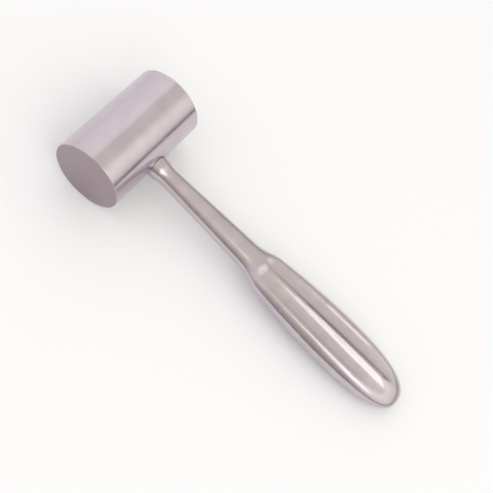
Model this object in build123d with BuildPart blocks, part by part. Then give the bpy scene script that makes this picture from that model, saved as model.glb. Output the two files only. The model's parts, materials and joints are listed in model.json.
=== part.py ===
from build123d import *
from math import asin, atan2, cos, hypot, pi, radians, sin, sqrt, tan
import os

# A bone mallet of stainless steel in two pieces, lying on its side as it comes to rest.
# The head is a plain turned cylinder. The handle is one forging: a tenon inside the head,
# a round collar, a shank that widens slowly, and a grip fluted on both of its broad sides.
# X runs along the head, Y from the head to the butt, and Z is up from the floor.
# The origin lies on the floor under the middle of the whole mallet.

# Head, all sizes in millimetres
head_diameter = 35.0
head_length = 56.6
head_edge_break = 0.4

# Handle along its length, measured from the head's axis
collar_end = 20.4
neck_at = 25.6
shoulder_at = 74.6
shoulder_length = 12.8
thickest_at = 140.0
widest_at = 131.0
butt_at = 173.4

# Handle across its length
collar_diameter = 11.3
collar_round = 0.7
neck_diameter = 9.4
shoulder_width = 13.6
shoulder_thickness = 10.8
grip_width = 27.1
grip_thickness = 16.8

# How the grip's two outlines run out: towards the head on a long curve, to the butt on a full one
width_reach = 84.0
width_rise = 1.6
thickness_reach = 77.0
thickness_rise = 2.0
width_fullness = 2.7
thickness_fullness = 1.85

# Flutes: two on each broad side, with a narrow rib between them
flute_radius = 7.0
flute_start = 87.0
flute_middle = 133.0
flute_end = 160.0
rib_thickness_start = 9.8
rib_thickness_middle = 14.1
rib_thickness_end = 14.0
ridge_spacing_start = 14.0
ridge_spacing_middle = 18.0
ridge_spacing_end = 14.6

# Joint: a screwed tenon in a blind hole, with the collar seated on a flat spot face
tenon_diameter = 8.0
tenon_length = 14.0
tenon_chamfer = 1.0
tenon_clearance = 0.05
tenon_end_gap = 1.0
drill_point_angle = 118.0
collar_clearance = 0.05
spot_face_depth = 0.3

# Loft sections in each stretch of the handle
shank_sections = 5
shoulder_sections = 5
grip_sections = 6
butt_sections = 8
contact_steps = 100

head_radius = head_diameter / 2
collar_radius = collar_diameter / 2
neck_radius = neck_diameter / 2
spot_face_radius = collar_radius + collar_clearance
seat_at = sqrt(head_radius**2 - spot_face_radius**2) - spot_face_depth
hole_radius = tenon_diameter / 2 + tenon_clearance
hole_depth = tenon_length + tenon_end_gap


def ease(share):
    """Rises from 0 to 1 with a level start and a level end."""
    return share * share * (3 - 2 * share)


def oval(distance, reach, fullness):
    """Height of a unit superellipse at a distance from its middle."""
    return (1 - (distance / reach) ** fullness) ** (1 / fullness)


def grip_outline(at, middle, size, reach, rise, fullness):
    """Half the grip's width or thickness, on its own curve to either side of the middle."""
    if at < middle:
        return size / 2 * oval(middle - at, reach, rise)
    return size / 2 * oval(at - middle, butt_at - middle, fullness)


def handle_outline(at, shoulder_size, middle, size, reach, rise, fullness):
    """Half size of the handle from the neck to the butt: a taper, an eased shoulder, then the grip."""
    taper = neck_radius + (shoulder_size / 2 - neck_radius) * (at - neck_at) / (shoulder_at - neck_at)
    if at <= shoulder_at:
        return taper
    grip = grip_outline(at, middle, size, reach, rise, fullness)
    if at >= shoulder_at + shoulder_length:
        return grip
    return taper + (grip - taper) * ease((at - shoulder_at) / shoulder_length)


def half_width(at):
    """Half the handle's size along the head, which its plan view shows."""
    grip_curve = (widest_at, grip_width, width_reach, width_rise, width_fullness)
    return handle_outline(at, shoulder_width, *grip_curve)


def half_thickness(at):
    """Half the handle's size between its broad sides, before the flutes are cut."""
    grip_curve = (thickest_at, grip_thickness, thickness_reach, thickness_rise, thickness_fullness)
    return handle_outline(at, shoulder_thickness, *grip_curve)


def stations():
    """Where the sections stand: evenly along each stretch, and closer and closer at the butt."""
    shoulder_end = shoulder_at + shoulder_length
    shank = [neck_at + (shoulder_at - neck_at) * i / shank_sections for i in range(shank_sections)]
    shoulder = [shoulder_at + shoulder_length * i / shoulder_sections for i in range(shoulder_sections)]
    grip = [shoulder_end + (widest_at - shoulder_end) * i / grip_sections for i in range(grip_sections)]
    turns = [pi / 2 * i / butt_sections for i in range(butt_sections)]
    butt = [widest_at + (butt_at - widest_at) * sin(turn) for turn in turns]
    return shank + shoulder + grip + butt


def flute_centre(at, rib_thickness, ridge_spacing):
    """Centre of the round cutter that passes through the rib's crest and the outer ridge."""
    ridge = ridge_spacing / 2
    ridge_height = half_thickness(at) * sqrt(1 - (ridge / half_width(at)) ** 2)
    rib_height = rib_thickness / 2
    chord = hypot(ridge, ridge_height - rib_height)
    stand_off = sqrt(flute_radius**2 - (chord / 2) ** 2)
    across = ridge / 2 + (rib_height - ridge_height) / chord * stand_off
    above = (rib_height + ridge_height) / 2 + ridge / chord * stand_off
    return across, above


# The cutter's centre follows a bow, given here as across, above and along in the handle's own frame
bow_points = [
    Vector(*flute_centre(flute_start, rib_thickness_start, ridge_spacing_start), flute_start),
    Vector(*flute_centre(flute_middle, rib_thickness_middle, ridge_spacing_middle), flute_middle),
    Vector(*flute_centre(flute_end, rib_thickness_end, ridge_spacing_end), flute_end),
]
with BuildLine() as bow_in_handle:
    ThreePointArc(*bow_points)


def lean(share):
    """Angle by which the handle slopes down if its lower rib meets the floor at this share of the bow."""
    centre = bow_in_handle.line @ share
    crest = centre.Y - sqrt(flute_radius**2 - centre.X**2)
    height = min(crest, half_thickness(centre.Z))
    return asin(head_radius / hypot(centre.Z, height)) - atan2(height, centre.Z)


# The mallet rests on the head's side and on the grip's lower rib, where that first meets the floor
tilt = min(lean(step / contact_steps) for step in range(contact_steps + 1))
slope = Vector(0, cos(tilt), -sin(tilt))
rise = Vector(0, sin(tilt), cos(tilt))
head_y = (head_radius - butt_at * cos(tilt)) / 2
head_centre = Vector(0, head_y, head_radius)

# Sections stand on section_plane, and what is turned about the handle's axis is drawn on turning_plane
section_plane = Plane(origin=head_centre, x_dir=(-1, 0, 0), z_dir=slope)
turning_plane = Plane(origin=head_centre, x_dir=(1, 0, 0), z_dir=rise)
handle_axis = Axis(head_centre, slope)
head_plane = Plane(origin=head_centre, x_dir=(0, 1, 0), z_dir=(1, 0, 0))


# Head: a solid cylinder with broken edges, spot-faced and drilled for the handle
tip_depth = hole_radius / tan(radians(drill_point_angle / 2))
hole_bottom = seat_at - hole_depth
with BuildPart() as head:
    with BuildSketch(head_plane):
        Circle(head_radius)
    extrude(amount=head_length / 2, both=True)
    fillet(head.edges().filter_by(GeomType.CIRCLE), radius=head_edge_break)
    with BuildSketch(turning_plane):
        with BuildLine():
            Polyline(
                (0, hole_bottom - tip_depth),
                (hole_radius, hole_bottom),
                (hole_radius, seat_at),
                (spot_face_radius, seat_at),
                (spot_face_radius, head_diameter),
                (0, head_diameter),
                close=True,
            )
        make_face()
    revolve(axis=handle_axis, mode=Mode.SUBTRACT)
head.part.label = "head"


# Flute cutters: a ball-ended round drawn along a gentle bow, then mirrored to all four places
with BuildPart() as flutes:
    with BuildLine():
        bow = ThreePointArc(*[section_plane.from_local_coords(point) for point in bow_points])
        Line(bow @ 1, bow @ 1 + (bow % 1) * (butt_at - flute_end) * 2)
    with BuildSketch(Plane(origin=bow @ 0, z_dir=bow % 0)):
        Circle(flute_radius)
    sweep()
    with Locations(bow @ 0):
        Sphere(flute_radius)
    mirror(about=Plane.YZ)
    mirror(about=turning_plane)


# Handle: turned tenon, collar and neck, then the shank and grip lofted to a point, with the flutes
tenon_end = seat_at - tenon_length
butt_point = head_centre + slope * butt_at
with BuildPart() as handle:
    with BuildSketch(turning_plane) as turned_end:
        with BuildLine():
            Polyline(
                (neck_radius, neck_at),
                (0, neck_at),
                (0, tenon_end),
                (tenon_diameter / 2 - tenon_chamfer, tenon_end),
                (tenon_diameter / 2, tenon_end + tenon_chamfer),
                (tenon_diameter / 2, seat_at),
                (collar_radius, seat_at),
                (collar_radius, collar_end),
            )
            TangentArc((neck_radius, neck_at), (collar_radius, collar_end), tangent=(0, -1))
        make_face()
        collar_corner = turned_end.vertices().group_by(Axis.X)[-1].sort_by(Axis.Y)[-1]
        fillet(collar_corner, radius=collar_round)
    revolve(axis=handle_axis)
    for at in stations():
        with BuildSketch(section_plane.offset(at)):
            Ellipse(half_width(at), half_thickness(at))
    loft([*handle.pending_faces, Vertex(*butt_point)])
    add(flutes.part, mode=Mode.SUBTRACT)
handle.part.label = "handle"

os.makedirs("parts", exist_ok=True)
for piece in (head, handle):
    export_step(piece.part, f"parts/{piece.part.label}.step")
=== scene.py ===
# %% [markdown]
# # A bone mallet of stainless steel
# The mallet is two pieces of steel: a turned head, and a forged handle with a fluted grip.
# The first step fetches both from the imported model, in metres, where they lie on the floor.
# Everything made here is placed in that same space, so nothing has to be fitted by eye.

# %% Load the two solids
import json
from math import cos, degrees, hypot, radians, sin, sqrt

import bpy
from mathutils import Euler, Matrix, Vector

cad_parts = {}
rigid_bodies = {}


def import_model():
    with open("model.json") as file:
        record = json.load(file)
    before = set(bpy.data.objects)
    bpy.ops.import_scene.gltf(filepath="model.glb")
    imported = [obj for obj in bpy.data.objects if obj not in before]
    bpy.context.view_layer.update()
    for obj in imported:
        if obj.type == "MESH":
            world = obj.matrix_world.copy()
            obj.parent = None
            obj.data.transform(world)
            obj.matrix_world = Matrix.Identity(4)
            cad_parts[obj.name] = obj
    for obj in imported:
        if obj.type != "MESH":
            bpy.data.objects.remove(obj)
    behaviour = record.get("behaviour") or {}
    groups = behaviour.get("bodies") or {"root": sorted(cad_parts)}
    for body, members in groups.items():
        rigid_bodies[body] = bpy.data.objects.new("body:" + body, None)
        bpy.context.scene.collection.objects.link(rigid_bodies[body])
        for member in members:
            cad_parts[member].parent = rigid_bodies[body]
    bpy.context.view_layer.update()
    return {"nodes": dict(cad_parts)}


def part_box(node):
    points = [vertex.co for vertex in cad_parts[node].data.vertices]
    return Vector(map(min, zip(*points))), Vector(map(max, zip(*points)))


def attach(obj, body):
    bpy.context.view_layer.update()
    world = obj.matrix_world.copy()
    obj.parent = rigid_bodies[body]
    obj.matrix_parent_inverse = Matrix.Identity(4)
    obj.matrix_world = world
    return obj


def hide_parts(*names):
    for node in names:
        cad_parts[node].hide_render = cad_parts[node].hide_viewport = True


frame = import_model()
head, handle = frame["nodes"]["head"], frame["nodes"]["handle"]
head_low, head_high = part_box("head")
head_middle = (head_low + head_high) / 2
MM = 0.001

# %% [markdown]
# ## The camera
# The photograph looks down at the mallet from the side of the near striking face, about 60
# degrees above the table, and the mallet lies across the picture from corner to corner.
# The place and the turn were worked out from the outline of the head and the handle, so the
# camera gets its turn as three angles. A long lens keeps the perspective mild.

# %% Camera
camera_place = Vector((0.1914, -0.0148, 0.3719))
camera_turn = Euler((radians(20.90), radians(-19.71), radians(128.69)))
camera_data = bpy.data.cameras.new("camera")
camera_data.lens = 65.05
camera = bpy.data.objects.new("camera", camera_data)
camera.location, camera.rotation_euler = camera_place, camera_turn
bpy.context.scene.collection.objects.link(camera)
bpy.context.scene.camera = camera
print("camera stands", round(camera_place.length, 3), "m from the mallet")

# %% [markdown]
# ## Colours and nodes
# Colours are written as they look on a screen, and a shader wants them linear. One function
# does the turn, so every colour below can be read as an ordinary hex value.
# A second one adds any node, with its settings and its links. Where a node has several sockets
# of one name, as Mix has for each kind of data, they are reached by their number.

# %% Screen colours to linear
def linear(hex_colour):
    """A colour such as C6BBC1, as the shader's red, green, blue and alpha."""
    shares = [int(hex_colour[i:i + 2], 16) / 255 for i in (0, 2, 4)]
    return [s / 12.92 if s <= 0.04045 else ((s + 0.055) / 1.055) ** 2.4 for s in shares] + [1.0]


def add_node(tree, kind, settings=None, inputs=None):
    """Adds one node, sets its properties, and gives each input a value or links it to an output."""
    node = tree.nodes.new(kind)
    for name, value in (settings or {}).items():
        setattr(node, name, value)
    for name, value in (inputs or {}).items():
        if isinstance(value, bpy.types.NodeSocket):
            tree.links.new(value, node.inputs[name])
        else:
            node.inputs[name].default_value = value
    return node


def fill_ramp(ramp, low, high, stops):
    """Sets a ramp's colours, given as hex values at real values between low and high."""
    elements = ramp.color_ramp.elements
    while len(elements) < len(stops):
        elements.new(0.5)
    for element, (value, hex_colour) in zip(elements, stops):
        element.position, element.color = (value - low) / (high - low), linear(hex_colour)


mix_share, float_a, float_b, colour_a, colour_b = 0, 2, 3, 6, 7
mixed_float, mixed_colour = 0, 2
print("mid grey 808080 is", round(linear("808080")[0], 3), "in linear light")

# %% [markdown]
# ## The studio
# Polished steel has hardly a colour of its own: it shows the room. On the head that room can be
# read off like a strip: a pale wall on one side, a slightly darker and warmer ceiling with a
# clear edge, a lighter wall again, and a dark line where that wall meets the table.
# The world is painted as such a room. One ramp runs over it from wall to wall along Y, and a
# second one darkens it towards the two ends, along X. The two are multiplied. Both run on the
# direction's own X and Y, so they meet without a seam.

# %% Room
room = bpy.data.worlds.new("studio")
bpy.context.scene.world = room
bpy.context.scene.view_settings.view_transform = "Standard"
room.use_nodes = True
tree = room.node_tree
towards = add_node(tree, "ShaderNodeTexCoord").outputs["Generated"]
sides = add_node(tree, "ShaderNodeSeparateXYZ", inputs={"Vector": towards}).outputs
wall_share, end_share = [add_node(tree, "ShaderNodeMapRange", inputs={
    "Value": sides[side], "From Min": -1.0, "From Max": 1.0}).outputs[0] for side in ("Y", "X")]
wall_to_wall = add_node(tree, "ShaderNodeValToRGB", inputs={"Fac": wall_share})
fill_ramp(wall_to_wall, -1, 1, [
    (-1, "DAD8D9"), (-0.84, "E9E6E6"), (-0.4, "F1EFEC"), (-0.27, "F0EEEB"), (-0.18, "D8D7CF"),
    (0.2, "D8D6CA"), (0.32, "D9D7CD"), (0.54, "F6F7EC"), (0.72, "FFFFF7"), (1, "FFFFF7")])
end_to_end = add_node(tree, "ShaderNodeValToRGB", inputs={"Fac": end_share})
fill_ramp(end_to_end, -1, 1, [
    (-1, "F4F4F4"), (-0.47, "F9F9F9"), (0, "FFFFFF"), (0.42, "FBFBFB"),
    (0.67, "F3F0F2"), (0.77, "E6E1E4"), (0.87, "D6CFD2"), (1, "DED8DB")])
walls_and_ceiling = add_node(tree, "ShaderNodeMix", {"data_type": "RGBA", "blend_type": "MULTIPLY"}, {
    mix_share: 1.0, colour_a: wall_to_wall.outputs[0], colour_b: end_to_end.outputs[0]})
print("room painted with", len(wall_to_wall.color_ramp.elements), "tones from wall to wall")

# %% [markdown]
# The dark line on the head is what lies low in the room on the butt's side: the gap between the
# table and the wall's lit part. A ramp on the height above the horizon, in degrees, paints it.
# It is blended out towards the other side, where the photograph shows no such line.

# %% Dark low wall
low_wall_top = 36
height = add_node(tree, "ShaderNodeMath", {"operation": "ARCSINE"}, {0: sides["Z"]}).outputs[0]
height_share = add_node(tree, "ShaderNodeMapRange", inputs={
    "Value": height, "From Min": 0.0, "From Max": radians(low_wall_top)}).outputs[0]
low_wall = add_node(tree, "ShaderNodeValToRGB", inputs={"Fac": height_share})
fill_ramp(low_wall, 0, low_wall_top, [
    (0, "4A4648"), (3, "6E696B"), (8, "C6C3C3"), (14, "E6E4E4"), (low_wall_top, "FFFFFF")])
on_butt_side = add_node(tree, "ShaderNodeMapRange", inputs={
    "Value": sides["Y"], "From Min": -0.5, "From Max": 0.0}).outputs[0]
whole_room = add_node(tree, "ShaderNodeMix", {"data_type": "RGBA", "blend_type": "MULTIPLY"}, {
    mix_share: on_butt_side, colour_a: walls_and_ceiling.outputs[mixed_colour],
    colour_b: low_wall.outputs[0]})
background = tree.nodes["Background"]
tree.links.new(whole_room.outputs[mixed_colour], background.inputs["Color"])
background.inputs["Strength"].default_value = 1.32
print("low wall ends", low_wall_top, "degrees above the table")

# %% [markdown]
# ## The lamp and the table
# The bright bands on the grip's ridges come from one large soft lamp, high on the side of the
# near striking face and the butt. A softbox is an area light, and its size sets how wide
# the bands are. It also gives the mallet its soft shadow.

# %% Softbox
softbox_distance = 1.0
softbox_data = bpy.data.lights.new("softbox", "AREA")
softbox_data.shape = "RECTANGLE"
softbox_data.size, softbox_data.size_y = 0.4, 0.72
softbox_data.energy = 0.88
softbox = bpy.data.objects.new("softbox", softbox_data)
softbox_direction = Vector((0.62, 0.55, 1.0)).normalized()
softbox.location = softbox_direction * softbox_distance
softbox.rotation_euler = softbox_direction.to_track_quat("Z", "Y").to_euler()
bpy.context.scene.collection.objects.link(softbox)
print("softbox hangs", round(softbox.location.z, 2), "m above the table")

# %% [markdown]
# The mallet lies on matt white card. The card is one pale tone as far as the picture shows it
# and is painted a little greyer far away on the butt's side: painted shade, which the steel
# mirrors low on the head.

# %% Floor
bpy.ops.object.select_all(action="DESELECT")
bpy.ops.mesh.primitive_plane_add(size=6.0, location=(0, 0, 0))
floor = bpy.context.object
floor.name = "floor"
card = bpy.data.materials.new("white card, matt, with painted far shade")
card.use_nodes = True
tree = card.node_tree
to_pale_middle, pale_radius, painted_shade_radius = (0.0, 1.0, 0.0), 1.16, 2.2
spot = add_node(tree, "ShaderNodeTexCoord").outputs["Object"]
from_lit_middle = add_node(tree, "ShaderNodeVectorMath", {"operation": "ADD"}, {0: spot, 1: to_pale_middle})
distance = add_node(tree, "ShaderNodeVectorMath", {"operation": "LENGTH"}, {0: from_lit_middle.outputs[0]})
painted_shade_share = add_node(tree, "ShaderNodeMapRange", {"interpolation_type": "SMOOTHSTEP"}, {
    "Value": distance.outputs["Value"], "From Min": pale_radius, "From Max": painted_shade_radius}).outputs[0]
card_tone_with_painted_shade = add_node(tree, "ShaderNodeValToRGB", inputs={"Fac": painted_shade_share})
# Painted shade: the card's colour is painted greyer far off on the butt's side.
fill_ramp(card_tone_with_painted_shade, 0, 1, [(0, "F9FAFF"), (1, "DAD8D9")])
surface = tree.nodes["Principled BSDF"]
tree.links.new(card_tone_with_painted_shade.outputs[0], surface.inputs["Base Color"])
surface.inputs["Roughness"].default_value = 0.9
floor.data.materials.append(card)
print("floor:", card.name, round(floor.dimensions.x, 1), "m across")

# %% [markdown]
# ## The shape of the handle
# The handle is one forging, and its form comes from two outlines: its width, seen from above, and
# its thickness, seen from the side. Both start at a slim round neck, widen slowly along the
# shank, swell at the shoulder and close in a full curve at the butt.
# Such outlines could be drawn as curves. Here each is a short rule with the real sizes in
# millimetres, so a size can be changed in one place. Places along the handle are measured from
# the head's axis.

# %% Outlines of the handle
neck_at, shoulder_at, shoulder_end, butt_at = 25.6, 74.6, 87.4, 173.4
neck_radius, collar_radius, tenon_radius = 4.7, 5.65, 4.0
tenon_end, seat_at, collar_end = 2.25, 16.25, 20.4
tenon_chamfer, collar_round = 1.0, 0.7
width_rule = {"shoulder": 6.8, "most": 13.55, "at": 131.0, "reach": 84.0, "rise": 1.6, "fullness": 2.7}
thickness_rule = {"shoulder": 5.4, "most": 8.4, "at": 140.0, "reach": 77.0, "rise": 2.0, "fullness": 1.85}


def half_size(at, rule):
    """Half the handle's width or thickness at a distance from the head's axis."""
    taper = neck_radius + (rule["shoulder"] - neck_radius) * (at - neck_at) / (shoulder_at - neck_at)
    if at <= shoulder_at:
        return taper
    beyond = at > rule["at"]
    reach, power = (butt_at - rule["at"], rule["fullness"]) if beyond else (rule["reach"], rule["rise"])
    grip = rule["most"] * (1 - (abs(at - rule["at"]) / reach) ** power) ** (1 / power)
    share = min((at - shoulder_at) / (shoulder_end - shoulder_at), 1)
    return taper + (grip - taper) * share * share * (3 - 2 * share) if share < 1 else grip


print("grip is", [round(2 * half_size(rule["at"], rule), 1) for rule in (width_rule, thickness_rule)], "mm")

# %% [markdown]
# The tenon and the collar are turned, so their rings are round. The collar has a small round on
# its edge and then falls to the neck in a hollow curve, an arc that leaves the neck without a
# kink. From the neck on, a ring has the width and the thickness of its place. Rings stand
# closer at the shoulder and at the butt, where the outline bends most.

# %% Rings of the handle
collar_step = collar_radius - neck_radius
hollow_radius = (collar_step ** 2 + (neck_at - collar_end) ** 2) / (2 * collar_step)
turned_rings = [(tenon_end, tenon_radius - tenon_chamfer), (tenon_end + tenon_chamfer, tenon_radius),
                (seat_at, tenon_radius)]
turned_rings += [(seat_at + collar_round * (1 - cos(turn)), collar_radius - collar_round * (1 - sin(turn)))
                 for turn in (0, radians(30), radians(60), radians(90))]
turned_rings += [(at, neck_radius + hollow_radius - sqrt(hollow_radius ** 2 - (neck_at - at) ** 2))
                 for at in (collar_end, 21.3, 22.4, 23.6, 24.6)]
rings = [(at, radius, radius) for at, radius in turned_rings]
grip_rings_from, butt_rings_from, butt_rings = 89.0, 135, 24
drawn_at = [neck_at + 3.5 * step for step in range(14)]
drawn_at += [shoulder_at + 1.6 * step for step in range(9)]
drawn_at += [grip_rings_from + 2.0 * step for step in range(23)]
drawn_at += [butt_rings_from + (butt_at - butt_rings_from) * sin(radians(90 / butt_rings * step))
             for step in range(butt_rings)]
rings += [(at, half_size(at, width_rule), half_size(at, thickness_rule)) for at in drawn_at]
print(len(rings), "rings, from", rings[0][0], "to", round(rings[-1][0], 2), "mm")

# %% [markdown]
# The body is drawn out like a pulled tube: it starts as a round disc at the tenon's end, and its
# rim is extruded from ring to ring and scaled to each ring's size. The last ring is merged into
# one point, the butt. A lathe can't make it, because most of its sections are ovals.

# %% Drawn body
round_steps = 96
bpy.ops.object.select_all(action="DESELECT")
bpy.ops.mesh.primitive_circle_add(vertices=round_steps, radius=rings[0][1] * MM, fill_type="NGON",
                                  location=(0, rings[0][0] * MM, 0), rotation=(radians(90), 0, 0))
polished_handle = bpy.context.object
polished_handle.name = "polished_handle"
bpy.ops.object.transform_apply(location=True, rotation=True, scale=True)
bpy.ops.object.mode_set(mode="EDIT")
bpy.ops.mesh.select_all(action="SELECT")
for (at, width, thickness), (next_at, next_width, next_thickness) in zip(rings, rings[1:]):
    bpy.ops.mesh.extrude_region_move(TRANSFORM_OT_translate={"value": (0, (next_at - at) * MM, 0)})
    bpy.ops.transform.resize(value=(next_width / width, 1, next_thickness / thickness),
                             center_override=(0, next_at * MM, 0))
bpy.ops.mesh.extrude_region_move(TRANSFORM_OT_translate={"value": (0, (butt_at - rings[-1][0]) * MM, 0)})
bpy.ops.mesh.merge(type="CENTER")
bpy.ops.mesh.select_all(action="SELECT")
bpy.ops.mesh.normals_make_consistent(inside=False)
bpy.ops.object.mode_set(mode="OBJECT")
finer = polished_handle.modifiers.new("finer rings", "SUBSURF")
finer.levels = finer.render_levels = 1
bpy.ops.object.modifier_apply(modifier=finer.name)
print("drawn body:", len(polished_handle.data.polygons), "faces")

# %% [markdown]
# ## The flutes
# Each flute is the mark of a round cutter, 14 mm across, that runs along a gentle bow. The bow
# is an arc through three places: where it starts, its middle and its end. In each, the round
# passes through the crest of the rib in the middle and through the ridge beside it. The axis of
# the arc and its centre follow from the three points.

# %% Bow of one flute
flute_radius = 7.0


def flute_centre(at, rib_thickness, ridge_spacing):
    """Centre of the round cutter through the rib's crest and the ridge beside it."""
    ridge = ridge_spacing / 2
    ridge_height = half_size(at, thickness_rule) * sqrt(1 - (ridge / half_size(at, width_rule)) ** 2)
    drop = rib_thickness / 2 - ridge_height
    chord = hypot(ridge, drop)
    stand_off = sqrt(flute_radius ** 2 - (chord / 2) ** 2)
    above = (rib_thickness / 2 + ridge_height) / 2 + ridge / chord * stand_off
    return Vector((ridge / 2 + drop / chord * stand_off, at, above)) * MM


# Each place: along the handle, the rib's thickness there, and the spacing of the outer ridges
bow_start, bow_middle, bow_end = [
    flute_centre(*place) for place in ((87, 9.8, 14.0), (133, 14.1, 18.0), (160, 14.0, 14.6))]
first_leg, both_legs = bow_middle - bow_start, bow_end - bow_start
bow_axis = first_leg.cross(both_legs)
to_centre = (both_legs.length_squared * bow_axis.cross(first_leg)
             + first_leg.length_squared * both_legs.cross(bow_axis)) / (2 * bow_axis.length_squared)
bow_centre = bow_start + to_centre
bow_turn = (bow_start - bow_centre).angle(bow_end - bow_centre)
start_direction = bow_axis.cross(bow_start - bow_centre).normalized()
end_direction = bow_axis.cross(bow_end - bow_centre).normalized()
print("the bow turns", round(degrees(bow_turn), 2), "degrees in", round(both_legs.length / MM, 1), "mm")

# %% [markdown]
# The tool for a flute is modelled like the cutter's path. A circle is spun along the bow into a
# tube, and the tube runs on past the butt, so that the flute runs out by itself. A ball closes
# its start, which gives the flute its round end.

# %% Cutter for one flute
bow_steps, run_past = 60, 30 * MM
cutters = bpy.data.collections.new("flute cutters")
bpy.context.scene.collection.children.link(cutters)


def into_cutters(piece, name):
    """Puts a finished cutter into the collection that the handle is cut with."""
    piece.name = name
    for home in piece.users_collection:
        home.objects.unlink(piece)
    cutters.objects.link(piece)


bpy.ops.object.select_all(action="DESELECT")
bpy.ops.mesh.primitive_circle_add(
    vertices=round_steps, radius=flute_radius * MM, fill_type="NOTHING", location=bow_start,
    rotation=start_direction.to_track_quat("Z", "Y").to_euler())
path = bpy.context.object
bpy.ops.object.transform_apply(location=True, rotation=True, scale=True)
bpy.ops.object.mode_set(mode="EDIT")
bpy.ops.mesh.select_all(action="SELECT")
bpy.ops.mesh.spin(steps=bow_steps, angle=-bow_turn, center=bow_centre, axis=bow_axis.normalized())
bpy.ops.mesh.extrude_region_move(TRANSFORM_OT_translate={"value": end_direction * run_past})
bpy.ops.mesh.select_all(action="SELECT")
bpy.ops.mesh.fill_holes(sides=0)
bpy.ops.mesh.normals_make_consistent(inside=False)
bpy.ops.object.mode_set(mode="OBJECT")
into_cutters(path, "cutter_path_1")
bpy.ops.mesh.primitive_uv_sphere_add(
    segments=round_steps, ring_count=round_steps // 2, radius=flute_radius * MM, location=bow_start)
bpy.ops.object.transform_apply(location=True, rotation=True, scale=True)
into_cutters(bpy.context.object, "cutter_ball_1")

# %% [markdown]
# The same cutter makes all four flutes, two on each broad side. Its path and its ball are copied
# and mirrored, and a mirrored copy is inside out until its normals are made consistent again.
# One Boolean takes them all from the body.

# %% Four flutes
for number, mirrored in enumerate(((-1, 1, 1), (1, 1, -1), (-1, 1, -1)), start=2):
    for kind in ("path", "ball"):
        twin = bpy.data.objects[f"cutter_{kind}_1"].copy()
        twin.data = twin.data.copy()
        into_cutters(twin, f"cutter_{kind}_{number}")
        bpy.ops.object.select_all(action="DESELECT")
        twin.select_set(True)
        bpy.context.view_layer.objects.active = twin
        twin.scale = mirrored
        bpy.ops.object.transform_apply(location=True, rotation=True, scale=True)
        bpy.ops.object.mode_set(mode="EDIT")
        bpy.ops.mesh.select_all(action="SELECT")
        bpy.ops.mesh.normals_make_consistent(inside=False)
        bpy.ops.object.mode_set(mode="OBJECT")
bpy.ops.object.select_all(action="DESELECT")
polished_handle.select_set(True)
bpy.context.view_layer.objects.active = polished_handle
cut = polished_handle.modifiers.new("flutes", "BOOLEAN")
cut.operation, cut.solver, cut.operand_type, cut.collection = "DIFFERENCE", "EXACT", "COLLECTION", cutters
bpy.ops.object.modifier_apply(modifier=cut.name)
for tool in list(cutters.objects):
    bpy.data.objects.remove(tool)
bpy.data.collections.remove(cutters)
print("fluted body:", len(polished_handle.data.polygons), "faces")

# %% [markdown]
# ## Polishing
# A forging leaves the polishing wheel with no sharp line on it: the ridges beside the flutes and
# the rib between them are all a little round. A bevel needs clean edges, and a Boolean leaves
# none, so the handle is rebuilt in small even faces and these are smoothed: a little all over,
# more at the grip, where the ridges catch the light as soft bands and not as lines, and most
# where the flutes begin, which fades them into the shank. Two vertex groups say where, and keep
# the crisp collar out of it. The broad surfaces hardly move, and the butt's point loses a
# quarter of a millimetre.

# %% Polished handle
face_size = 0.35 * MM
run_out_at, run_out_full, run_out_fade = 85.0, 1.6, 5
rebuild = polished_handle.modifiers.new("even faces", "REMESH")
rebuild.mode, rebuild.voxel_size, rebuild.use_smooth_shade = "VOXEL", face_size, True
bpy.ops.object.modifier_apply(modifier=rebuild.name)
grip = polished_handle.vertex_groups.new(name="grip")
flute_starts = polished_handle.vertex_groups.new(name="flute starts")
for vertex in polished_handle.data.vertices:
    on_grip = (vertex.co.y / MM - shoulder_at) / (shoulder_end - shoulder_at)
    at_start = run_out_full - abs(vertex.co.y / MM - run_out_at) / run_out_fade
    for group, share in ((grip, on_grip), (flute_starts, at_start)):
        if share > 0:
            group.add([vertex.index], min(share, 1.0), "REPLACE")
for name, group_name, passes in (
        ("buffed all over", "", 10), ("buffed more at the grip", "grip", 40),
        ("run out at the flute starts", "flute starts", 50)):
    buffed = polished_handle.modifiers.new(name, "SMOOTH")
    buffed.factor, buffed.iterations, buffed.vertex_group = 0.5, passes, group_name
    bpy.ops.object.modifier_apply(modifier=buffed.name)
print("polished handle:", len(polished_handle.data.polygons), "faces of about", face_size / MM, "mm")

# %% [markdown]
# So far the handle lies level, with the head's axis at the origin. Now it is leaned down to the
# floor, where its lower rib rests, and set into the head. It then takes the solid's place.
# The slope is the one that the solid lies at.

# %% Handle in place
handle_slope = radians(3.831)
polished_handle.rotation_euler = (-handle_slope, 0, 0)
polished_handle.location = head_middle
bpy.ops.object.transform_apply(location=True, rotation=True, scale=True)
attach(polished_handle, "root")
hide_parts("handle")
for name, (low, high) in (("polished", (polished_handle.bound_box[0], polished_handle.bound_box[6])),
                          ("solid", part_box("handle"))):
    print(name, "handle:", [round(c / MM, 2) for c in low], "to", [round(c / MM, 2) for c in high], "mm")

# %% [markdown]
# ## Two finishes of one steel
# Both pieces are stainless steel, which is a metal all through: the shader is fully metallic,
# its colour is that of the reflection, and all the contrast comes from the room.
# What tells the finishes apart is the direction of the fine lines that each leaves. The barrel
# is turned and polished while it spins, so its lines run round it. The handle is drawn along a
# wheel, so its lines run lengthwise. Real lines are a few hundredths of a millimetre apart.
# They are drawn half a millimetre apart here, as fine as the picture can still show them.
# A slow second noise, in patches of 9 mm, varies colour and gloss as hand polishing does.

# %% Grained steel
patch_size = 9 * MM


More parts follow.
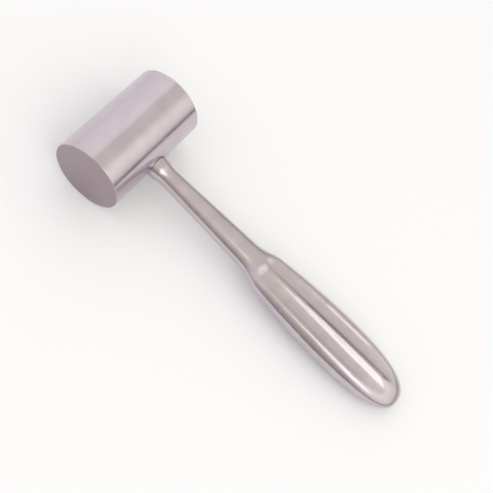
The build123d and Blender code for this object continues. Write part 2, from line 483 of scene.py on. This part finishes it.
def grained_steel(name, line_size, tints, gloss, line_depth):
    """A brushed steel: line_size is the lines' size in mm along X, Y and Z, gloss its roughness range."""
    material = bpy.data.materials.new(name)
    material.use_nodes = True
    tree = material.node_tree
    surface = tree.nodes["Principled BSDF"]
    surface.inputs["Metallic"].default_value = 1.0
    place = add_node(tree, "ShaderNodeTexCoord").outputs["Object"]
    stretched = add_node(tree, "ShaderNodeMapping", inputs={
        "Vector": place, "Scale": [1 / (size * MM) for size in line_size]}).outputs[0]
    lines = add_node(tree, "ShaderNodeTexNoise", inputs={
        "Vector": stretched, "Scale": 1.0, "Detail": 3.0, "Roughness": 0.6}).outputs[0]
    patches = add_node(tree, "ShaderNodeTexNoise", inputs={
        "Vector": place, "Scale": 1 / patch_size, "Detail": 4.0, "Roughness": 0.6}).outputs[0]
    tint = add_node(tree, "ShaderNodeValToRGB", inputs={"Fac": patches})
    fill_ramp(tint, 0, 1, [(0.35, tints[0]), (0.65, tints[1])])
    uneven = add_node(tree, "ShaderNodeMath", {"operation": "ADD"}, {0: lines, 1: patches}).outputs[0]
    roughness = add_node(tree, "ShaderNodeMapRange", inputs={
        "Value": uneven, "From Min": 0.7, "From Max": 1.3, "To Min": gloss[0], "To Max": gloss[1]})
    relief = add_node(tree, "ShaderNodeBump", inputs={
        "Height": lines, "Distance": line_depth * MM, "Strength": 1.0})
    tree.links.new(tint.outputs[0], surface.inputs["Base Color"])
    tree.links.new(roughness.outputs[0], surface.inputs["Roughness"])
    tree.links.new(relief.outputs[0], surface.inputs["Normal"])
    return material


# Turned: the lines run round the barrel, so it shines in bands along X
turned_steel = grained_steel(
    "stainless steel, turned and satin polished",
    line_size=(0.5, 30, 30), tints=("C5BBC3", "CBC1C9"), gloss=(0.14, 0.22), line_depth=0.004)
# Forged: the lines run along the handle, and hand work leaves it a little duller and less even
forged_steel = grained_steel(
    "stainless steel, forged and polished lengthwise",
    line_size=(0.5, 14, 0.5), tints=("C4BAC1", "CCC2C9"), gloss=(0.16, 0.26), line_depth=0.006)
for piece, finish in ((head, turned_steel), (polished_handle, forged_steel)):
    piece.data.materials.clear()
    piece.data.materials.append(finish)
    print(piece.name, "wears", finish.name)

# %% [markdown]
# ## Striking faces
# The two flat ends do the work, and they are ground flat and left dull: a struck face that
# shone would show every blow. Their dullness is real and is set by the roughness. Their colour
# is painted darker and greyer than the barrel: painted shade, for the shaded floor that the faces
# mirror. A mask along X puts this finish and the painted shade on the ends only, and the marks of the
# wheel are faint rings round the head's axis. Real marks are hundredths of a millimetre apart,
# and they are drawn 1.8 mm apart so that they show. The texture's own rings are about 0.3 apart.

# %% Ground faces
face_from, face_full, mark_spacing = 28.15 * MM, 28.28 * MM, 1.8 * MM
tree = turned_steel.node_tree
surface = tree.nodes["Principled BSDF"]
barrel_colour, barrel_roughness = [
    surface.inputs[name].links[0].from_socket for name in ("Base Color", "Roughness")]
place = add_node(tree, "ShaderNodeTexCoord").outputs["Object"]
along = add_node(tree, "ShaderNodeSeparateXYZ", inputs={"Vector": place}).outputs["X"]
from_middle = add_node(tree, "ShaderNodeMath", {"operation": "ABSOLUTE"}, {0: along}).outputs[0]
on_face = add_node(tree, "ShaderNodeMapRange", inputs={
    "Value": from_middle, "From Min": face_from, "From Max": face_full}).outputs[0]
centred = add_node(tree, "ShaderNodeMapping", inputs={"Vector": place, "Location": -head_middle}).outputs[0]
wheel_marks = add_node(
    tree, "ShaderNodeTexWave", {"wave_type": "RINGS", "rings_direction": "X"}, {
        "Vector": centred, "Scale": 0.3 / mark_spacing,
        "Distortion": 1.5, "Detail": 3.0, "Detail Scale": 2.0}).outputs[1]
face_tint_with_painted_shade = add_node(tree, "ShaderNodeValToRGB", inputs={"Fac": wheel_marks})
# Painted shade: the faces' colour is set darker and greyer than the barrel's; the wheel marks change it
# only faintly.
fill_ramp(face_tint_with_painted_shade, 0, 1, [(0, "A7999F"), (1, "A99BA3")])
colour = add_node(tree, "ShaderNodeMix", {"data_type": "RGBA"}, {
    mix_share: on_face, colour_a: barrel_colour, colour_b: face_tint_with_painted_shade.outputs[0]})
roughness = add_node(tree, "ShaderNodeMix", {"data_type": "FLOAT"}, {
    mix_share: on_face, float_a: barrel_roughness, float_b: 0.42})
tree.links.new(colour.outputs[mixed_colour], surface.inputs["Base Color"])
tree.links.new(roughness.outputs[mixed_float], surface.inputs["Roughness"])
print("ground faces from", face_from / MM, "mm on, on a head", round(head_high.x / MM, 2), "mm to an end")
